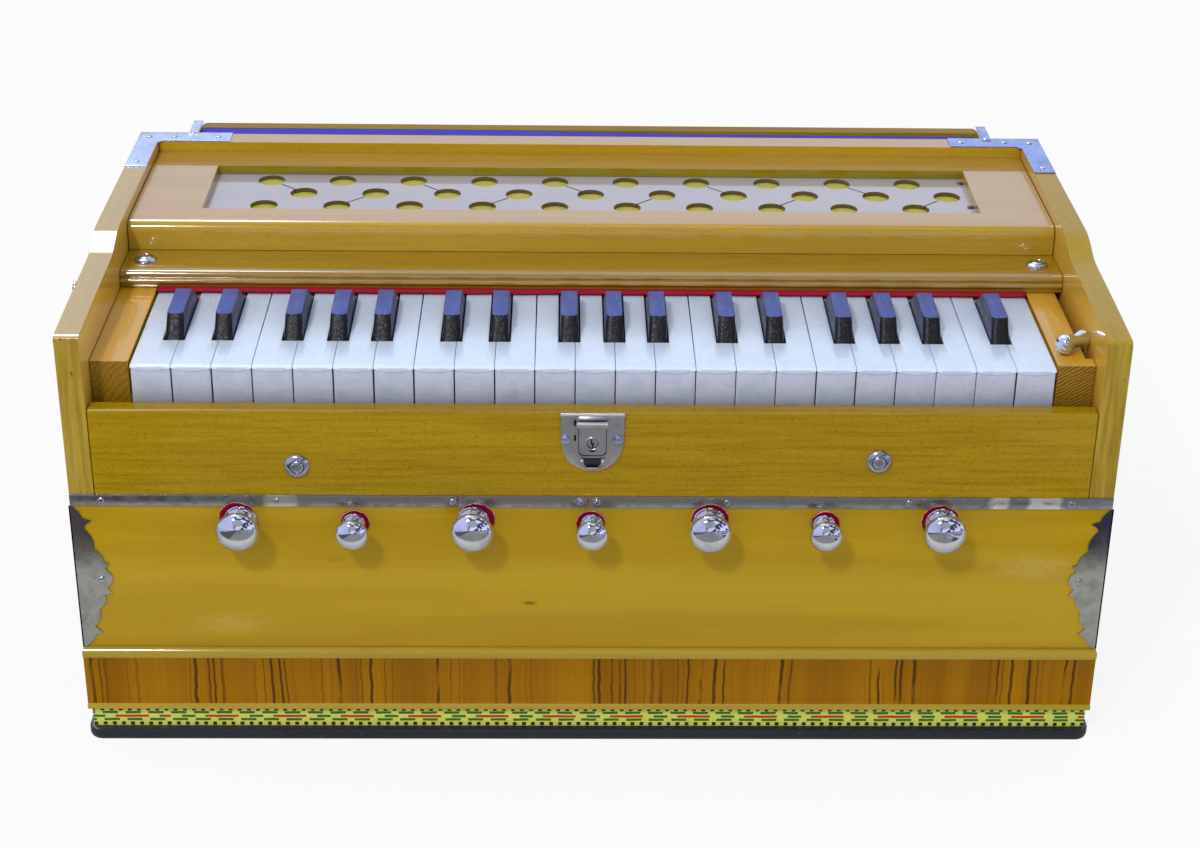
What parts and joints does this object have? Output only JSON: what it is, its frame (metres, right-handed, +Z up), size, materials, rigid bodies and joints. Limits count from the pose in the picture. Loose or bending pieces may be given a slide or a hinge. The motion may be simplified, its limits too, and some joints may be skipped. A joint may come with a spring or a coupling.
{
  "type": "indian harmonium",
  "caption": "Hand-pumped reed organ in a varnished wooden case with piano keys, domed stop knobs, a pierced grille, a coupler lever and a hinged bellows board at the back.",
  "frame": {"origin": "on the floor, under the middle of the instrument's bounding box", "axes": "+X to the treble end along the keyboard, +Y from the player to the bellows, +Z up"},
  "size_m": [0.583, 0.323, 0.2692],
  "materials": {
    "varnish": "high-gloss golden brown varnish",
    "veneer": "glossy striped veneer",
    "base_paint": "glossy near-black paint",
    "bare_wood": "plain planed wood",
    "ivory": "glossy bluish white",
    "ebony": "glossy black",
    "grille_plastic": "polished acrylic sheet",
    "chrome": "polished plating",
    "bellows_cloth": "blue bellows cloth",
    "red_felt": "red wool felt",
    "gauze": "yellow-green woven cloth",
    "tape": "printed ornament tape",
    "slot_dark": "dark recess"
  },
  "bodies": {
    "case": {"base_tray": "base_paint", "left_side": "varnish", "right_side": "varnish", "front_panel": "varnish", "key_slip": "varnish", "back_board": "varnish", "reed_board": "bare_wood", "key_batten": "varnish", "grille_frame": "varnish", "grille_plate": "grille_plastic", "bellows_folds": "bellows_cloth"},
    "key_c1": {"key_c1": "ivory"},
    "key_d1": {"key_d1": "ivory"},
    "key_e1": {"key_e1": "ivory"},
    "key_f1": {"key_f1": "ivory"},
    "key_g1": {"key_g1": "ivory"},
    "key_a1": {"key_a1": "ivory"},
    "key_b1": {"key_b1": "ivory"},
    "key_c2": {"key_c2": "ivory"},
    "key_d2": {"key_d2": "ivory"},
    "key_e2": {"key_e2": "ivory"},
    "key_f2": {"key_f2": "ivory"},
    "key_g2": {"key_g2": "ivory"},
    "key_a2": {"key_a2": "ivory"},
    "key_b2": {"key_b2": "ivory"},
    "key_c3": {"key_c3": "ivory"},
    "key_d3": {"key_d3": "ivory"},
    "key_e3": {"key_e3": "ivory"},
    "key_f3": {"key_f3": "ivory"},
    "key_g3": {"key_g3": "ivory"},
    "key_a3": {"key_a3": "ivory"},
    "key_b3": {"key_b3": "ivory"},
    "key_c4": {"key_c4": "ivory"},
    "key_d4": {"key_d4": "ivory"},
    "key_c_sharp1": {"key_c_sharp1": "ebony"},
    "key_d_sharp1": {"key_d_sharp1": "ebony"},
    "key_f_sharp1": {"key_f_sharp1": "ebony"},
    "key_g_sharp1": {"key_g_sharp1": "ebony"},
    "key_a_sharp1": {"key_a_sharp1": "ebony"},
    "key_c_sharp2": {"key_c_sharp2": "ebony"},
    "key_d_sharp2": {"key_d_sharp2": "ebony"},
    "key_f_sharp2": {"key_f_sharp2": "ebony"},
    "key_g_sharp2": {"key_g_sharp2": "ebony"},
    "key_a_sharp2": {"key_a_sharp2": "ebony"},
    "key_c_sharp3": {"key_c_sharp3": "ebony"},
    "key_d_sharp3": {"key_d_sharp3": "ebony"},
    "key_f_sharp3": {"key_f_sharp3": "ebony"},
    "key_g_sharp3": {"key_g_sharp3": "ebony"},
    "key_a_sharp3": {"key_a_sharp3": "ebony"},
    "key_c_sharp4": {"key_c_sharp4": "ebony"},
    "main_stop_1": {"main_stop_1": "chrome"},
    "drone_stop_1": {"drone_stop_1": "chrome"},
    "main_stop_2": {"main_stop_2": "chrome"},
    "drone_stop_2": {"drone_stop_2": "chrome"},
    "main_stop_3": {"main_stop_3": "chrome"},
    "drone_stop_3": {"drone_stop_3": "chrome"},
    "main_stop_4": {"main_stop_4": "chrome"},
    "bellows_board": {"bellows_board": "varnish"},
    "coupler_lever": {"coupler_lever": "chrome"},
    "lock_flap": {"lock_flap": "chrome"}
  },
  "joints": [
    {"name": "bellows_pump", "type": "hinge", "parent": "case", "child": "bellows_board", "pos_m": [0, 0.14646, 0.066], "axis": [-1, 0, 0], "range_deg": [0, 28], "deforming": ["bellows_folds"]},
    {"name": "coupler_swing", "type": "hinge", "parent": "case", "child": "coupler_lever", "pos_m": [0.27325, -0.09105, 0.194], "axis": [-1, 0, 0], "range_deg": [0, 16]},
    {"name": "lock_flap_fold", "type": "hinge", "parent": "case", "child": "lock_flap", "pos_m": [-0.0014, -0.14294, 0.1845], "axis": [1, 0, 0], "range_deg": [0, 110]},
    {"name": "main_stop_1_pull", "type": "slide", "parent": "case", "child": "main_stop_1", "axis": [0, -1, 0], "range_m": [0, 0.022]},
    {"name": "drone_stop_1_pull", "type": "slide", "parent": "case", "child": "drone_stop_1", "axis": [0, -1, 0], "range_m": [0, 0.018]},
    {"name": "main_stop_2_pull", "type": "slide", "parent": "case", "child": "main_stop_2", "axis": [0, -1, 0], "range_m": [0, 0.022]},
    {"name": "drone_stop_2_pull", "type": "slide", "parent": "case", "child": "drone_stop_2", "axis": [0, -1, 0], "range_m": [0, 0.018]},
    {"name": "main_stop_3_pull", "type": "slide", "parent": "case", "child": "main_stop_3", "axis": [0, -1, 0], "range_m": [0, 0.022]},
    {"name": "drone_stop_3_pull", "type": "slide", "parent": "case", "child": "drone_stop_3", "axis": [0, -1, 0], "range_m": [0, 0.018]},
    {"name": "main_stop_4_pull", "type": "slide", "parent": "case", "child": "main_stop_4", "axis": [0, -1, 0], "range_m": [0, 0.022]},
    {"name": "key_c1_press", "type": "hinge", "parent": "case", "child": "key_c1", "pos_m": [-0.242, -0.01154, 0.2187], "axis": [1, 0, 0], "range_deg": [0, 3.2], "stiffness_Nm_per_rad": 0.4, "springref_deg": -6.88},
    {"name": "key_d1_press", "type": "hinge", "parent": "case", "child": "key_d1", "pos_m": [-0.22, -0.01154, 0.2187], "axis": [1, 0, 0], "range_deg": [0, 3.2], "stiffness_Nm_per_rad": 0.4, "springref_deg": -6.88},
    {"name": "key_e1_press", "type": "hinge", "parent": "case", "child": "key_e1", "pos_m": [-0.198, -0.01154, 0.2187], "axis": [1, 0, 0], "range_deg": [0, 3.2], "stiffness_Nm_per_rad": 0.4, "springref_deg": -6.88},
    {"name": "key_f1_press", "type": "hinge", "parent": "case", "child": "key_f1", "pos_m": [-0.176, -0.01154, 0.2187], "axis": [1, 0, 0], "range_deg": [0, 3.2], "stiffness_Nm_per_rad": 0.4, "springref_deg": -6.88},
    {"name": "key_g1_press", "type": "hinge", "parent": "case", "child": "key_g1", "pos_m": [-0.154, -0.01154, 0.2187], "axis": [1, 0, 0], "range_deg": [0, 3.2], "stiffness_Nm_per_rad": 0.4, "springref_deg": -6.88},
    {"name": "key_a1_press", "type": "hinge", "parent": "case", "child": "key_a1", "pos_m": [-0.132, -0.01154, 0.2187], "axis": [1, 0, 0], "range_deg": [0, 3.2], "stiffness_Nm_per_rad": 0.4, "springref_deg": -6.88},
    {"name": "key_b1_press", "type": "hinge", "parent": "case", "child": "key_b1", "pos_m": [-0.11, -0.01154, 0.2187], "axis": [1, 0, 0], "range_deg": [0, 3.2], "stiffness_Nm_per_rad": 0.4, "springref_deg": -6.88},
    {"name": "key_c2_press", "type": "hinge", "parent": "case", "child": "key_c2", "pos_m": [-0.088, -0.01154, 0.2187], "axis": [1, 0, 0], "range_deg": [0, 3.2], "stiffness_Nm_per_rad": 0.4, "springref_deg": -6.88},
    {"name": "key_d2_press", "type": "hinge", "parent": "case", "child": "key_d2", "pos_m": [-0.066, -0.01154, 0.2187], "axis": [1, 0, 0], "range_deg": [0, 3.2], "stiffness_Nm_per_rad": 0.4, "springref_deg": -6.88},
    {"name": "key_e2_press", "type": "hinge", "parent": "case", "child": "key_e2", "pos_m": [-0.044, -0.01154, 0.2187], "axis": [1, 0, 0], "range_deg": [0, 3.2], "stiffness_Nm_per_rad": 0.4, "springref_deg": -6.88},
    {"name": "key_f2_press", "type": "hinge", "parent": "case", "child": "key_f2", "pos_m": [-0.022, -0.01154, 0.2187], "axis": [1, 0, 0], "range_deg": [0, 3.2], "stiffness_Nm_per_rad": 0.4, "springref_deg": -6.88},
    {"name": "key_g2_press", "type": "hinge", "parent": "case", "child": "key_g2", "pos_m": [0, -0.01154, 0.2187], "axis": [1, 0, 0], "range_deg": [0, 3.2], "stiffness_Nm_per_rad": 0.4, "springref_deg": -6.88},
    {"name": "key_a2_press", "type": "hinge", "parent": "case", "child": "key_a2", "pos_m": [0.022, -0.01154, 0.2187], "axis": [1, 0, 0], "range_deg": [0, 3.2], "stiffness_Nm_per_rad": 0.4, "springref_deg": -6.88},
    {"name": "key_b2_press", "type": "hinge", "parent": "case", "child": "key_b2", "pos_m": [0.044, -0.01154, 0.2187], "axis": [1, 0, 0], "range_deg": [0, 3.2], "stiffness_Nm_per_rad": 0.4, "springref_deg": -6.88},
    {"name": "key_c3_press", "type": "hinge", "parent": "case", "child": "key_c3", "pos_m": [0.066, -0.01154, 0.2187], "axis": [1, 0, 0], "range_deg": [0, 3.2], "stiffness_Nm_per_rad": 0.4, "springref_deg": -6.88},
    {"name": "key_d3_press", "type": "hinge", "parent": "case", "child": "key_d3", "pos_m": [0.088, -0.01154, 0.2187], "axis": [1, 0, 0], "range_deg": [0, 3.2], "stiffness_Nm_per_rad": 0.4, "springref_deg": -6.88},
    {"name": "key_e3_press", "type": "hinge", "parent": "case", "child": "key_e3", "pos_m": [0.11, -0.01154, 0.2187], "axis": [1, 0, 0], "range_deg": [0, 3.2], "stiffness_Nm_per_rad": 0.4, "springref_deg": -6.88},
    {"name": "key_f3_press", "type": "hinge", "parent": "case", "child": "key_f3", "pos_m": [0.132, -0.01154, 0.2187], "axis": [1, 0, 0], "range_deg": [0, 3.2], "stiffness_Nm_per_rad": 0.4, "springref_deg": -6.88},
    {"name": "key_g3_press", "type": "hinge", "parent": "case", "child": "key_g3", "pos_m": [0.154, -0.01154, 0.2187], "axis": [1, 0, 0], "range_deg": [0, 3.2], "stiffness_Nm_per_rad": 0.4, "springref_deg": -6.88},
    {"name": "key_a3_press", "type": "hinge", "parent": "case", "child": "key_a3", "pos_m": [0.176, -0.01154, 0.2187], "axis": [1, 0, 0], "range_deg": [0, 3.2], "stiffness_Nm_per_rad": 0.4, "springref_deg": -6.88},
    {"name": "key_b3_press", "type": "hinge", "parent": "case", "child": "key_b3", "pos_m": [0.198, -0.01154, 0.2187], "axis": [1, 0, 0], "range_deg": [0, 3.2], "stiffness_Nm_per_rad": 0.4, "springref_deg": -6.88},
    {"name": "key_c4_press", "type": "hinge", "parent": "case", "child": "key_c4", "pos_m": [0.22, -0.01154, 0.2187], "axis": [1, 0, 0], "range_deg": [0, 3.2], "stiffness_Nm_per_rad": 0.4, "springref_deg": -6.88},
    {"name": "key_d4_press", "type": "hinge", "parent": "case", "child": "key_d4", "pos_m": [0.242, -0.01154, 0.2187], "axis": [1, 0, 0], "range_deg": [0, 3.2], "stiffness_Nm_per_rad": 0.4, "springref_deg": -6.88},
    {"name": "key_c_sharp1_press", "type": "hinge", "parent": "case", "child": "key_c_sharp1", "pos_m": [-0.23399, -0.01154, 0.2187], "axis": [1, 0, 0], "range_deg": [0, 3.2], "stiffness_Nm_per_rad": 0.4, "springref_deg": -6.88},
    {"name": "key_d_sharp1_press", "type": "hinge", "parent": "case", "child": "key_d_sharp1", "pos_m": [-0.20702, -0.01154, 0.2187], "axis": [1, 0, 0], "range_deg": [0, 3.2], "stiffness_Nm_per_rad": 0.4, "springref_deg": -6.88},
    {"name": "key_f_sharp1_press", "type": "hinge", "parent": "case", "child": "key_f_sharp1", "pos_m": [-0.16819, -0.01154, 0.2187], "axis": [1, 0, 0], "range_deg": [0, 3.2], "stiffness_Nm_per_rad": 0.4, "springref_deg": -6.88},
    {"name": "key_g_sharp1_press", "type": "hinge", "parent": "case", "child": "key_g_sharp1", "pos_m": [-0.143, -0.01154, 0.2187], "axis": [1, 0, 0], "range_deg": [0, 3.2], "stiffness_Nm_per_rad": 0.4, "springref_deg": -6.88},
    {"name": "key_a_sharp1_press", "type": "hinge", "parent": "case", "child": "key_a_sharp1", "pos_m": [-0.11858, -0.01154, 0.2187], "axis": [1, 0, 0], "range_deg": [0, 3.2], "stiffness_Nm_per_rad": 0.4, "springref_deg": -6.88},
    {"name": "key_c_sharp2_press", "type": "hinge", "parent": "case", "child": "key_c_sharp2", "pos_m": [-0.07999, -0.01154, 0.2187], "axis": [1, 0, 0], "range_deg": [0, 3.2], "stiffness_Nm_per_rad": 0.4, "springref_deg": -6.88},
    {"name": "key_d_sharp2_press", "type": "hinge", "parent": "case", "child": "key_d_sharp2", "pos_m": [-0.05302, -0.01154, 0.2187], "axis": [1, 0, 0], "range_deg": [0, 3.2], "stiffness_Nm_per_rad": 0.4, "springref_deg": -6.88},
    {"name": "key_f_sharp2_press", "type": "hinge", "parent": "case", "child": "key_f_sharp2", "pos_m": [-0.01419, -0.01154, 0.2187], "axis": [1, 0, 0], "range_deg": [0, 3.2], "stiffness_Nm_per_rad": 0.4, "springref_deg": -6.88},
    {"name": "key_g_sharp2_press", "type": "hinge", "parent": "case", "child": "key_g_sharp2", "pos_m": [0.011, -0.01154, 0.2187], "axis": [1, 0, 0], "range_deg": [0, 3.2], "stiffness_Nm_per_rad": 0.4, "springref_deg": -6.88},
    {"name": "key_a_sharp2_press", "type": "hinge", "parent": "case", "child": "key_a_sharp2", "pos_m": [0.03542, -0.01154, 0.2187], "axis": [1, 0, 0], "range_deg": [0, 3.2], "stiffness_Nm_per_rad": 0.4, "springref_deg": -6.88},
    {"name": "key_c_sharp3_press", "type": "hinge", "parent": "case", "child": "key_c_sharp3", "pos_m": [0.07401, -0.01154, 0.2187], "axis": [1, 0, 0], "range_deg": [0, 3.2], "stiffness_Nm_per_rad": 0.4, "springref_deg": -6.88},
    {"name": "key_d_sharp3_press", "type": "hinge", "parent": "case", "child": "key_d_sharp3", "pos_m": [0.10098, -0.01154, 0.2187], "axis": [1, 0, 0], "range_deg": [0, 3.2], "stiffness_Nm_per_rad": 0.4, "springref_deg": -6.88},
    {"name": "key_f_sharp3_press", "type": "hinge", "parent": "case", "child": "key_f_sharp3", "pos_m": [0.13981, -0.01154, 0.2187], "axis": [1, 0, 0], "range_deg": [0, 3.2], "stiffness_Nm_per_rad": 0.4, "springref_deg": -6.88},
    {"name": "key_g_sharp3_press", "type": "hinge", "parent": "case", "child": "key_g_sharp3", "pos_m": [0.165, -0.01154, 0.2187], "axis": [1, 0, 0], "range_deg": [0, 3.2], "stiffness_Nm_per_rad": 0.4, "springref_deg": -6.88},
    {"name": "key_a_sharp3_press", "type": "hinge", "parent": "case", "child": "key_a_sharp3", "pos_m": [0.18942, -0.01154, 0.2187], "axis": [1, 0, 0], "range_deg": [0, 3.2], "stiffness_Nm_per_rad": 0.4, "springref_deg": -6.88},
    {"name": "key_c_sharp4_press", "type": "hinge", "parent": "case", "child": "key_c_sharp4", "pos_m": [0.22801, -0.01154, 0.2187], "axis": [1, 0, 0], "range_deg": [0, 3.2], "stiffness_Nm_per_rad": 0.4, "springref_deg": -6.88}
  ]
}
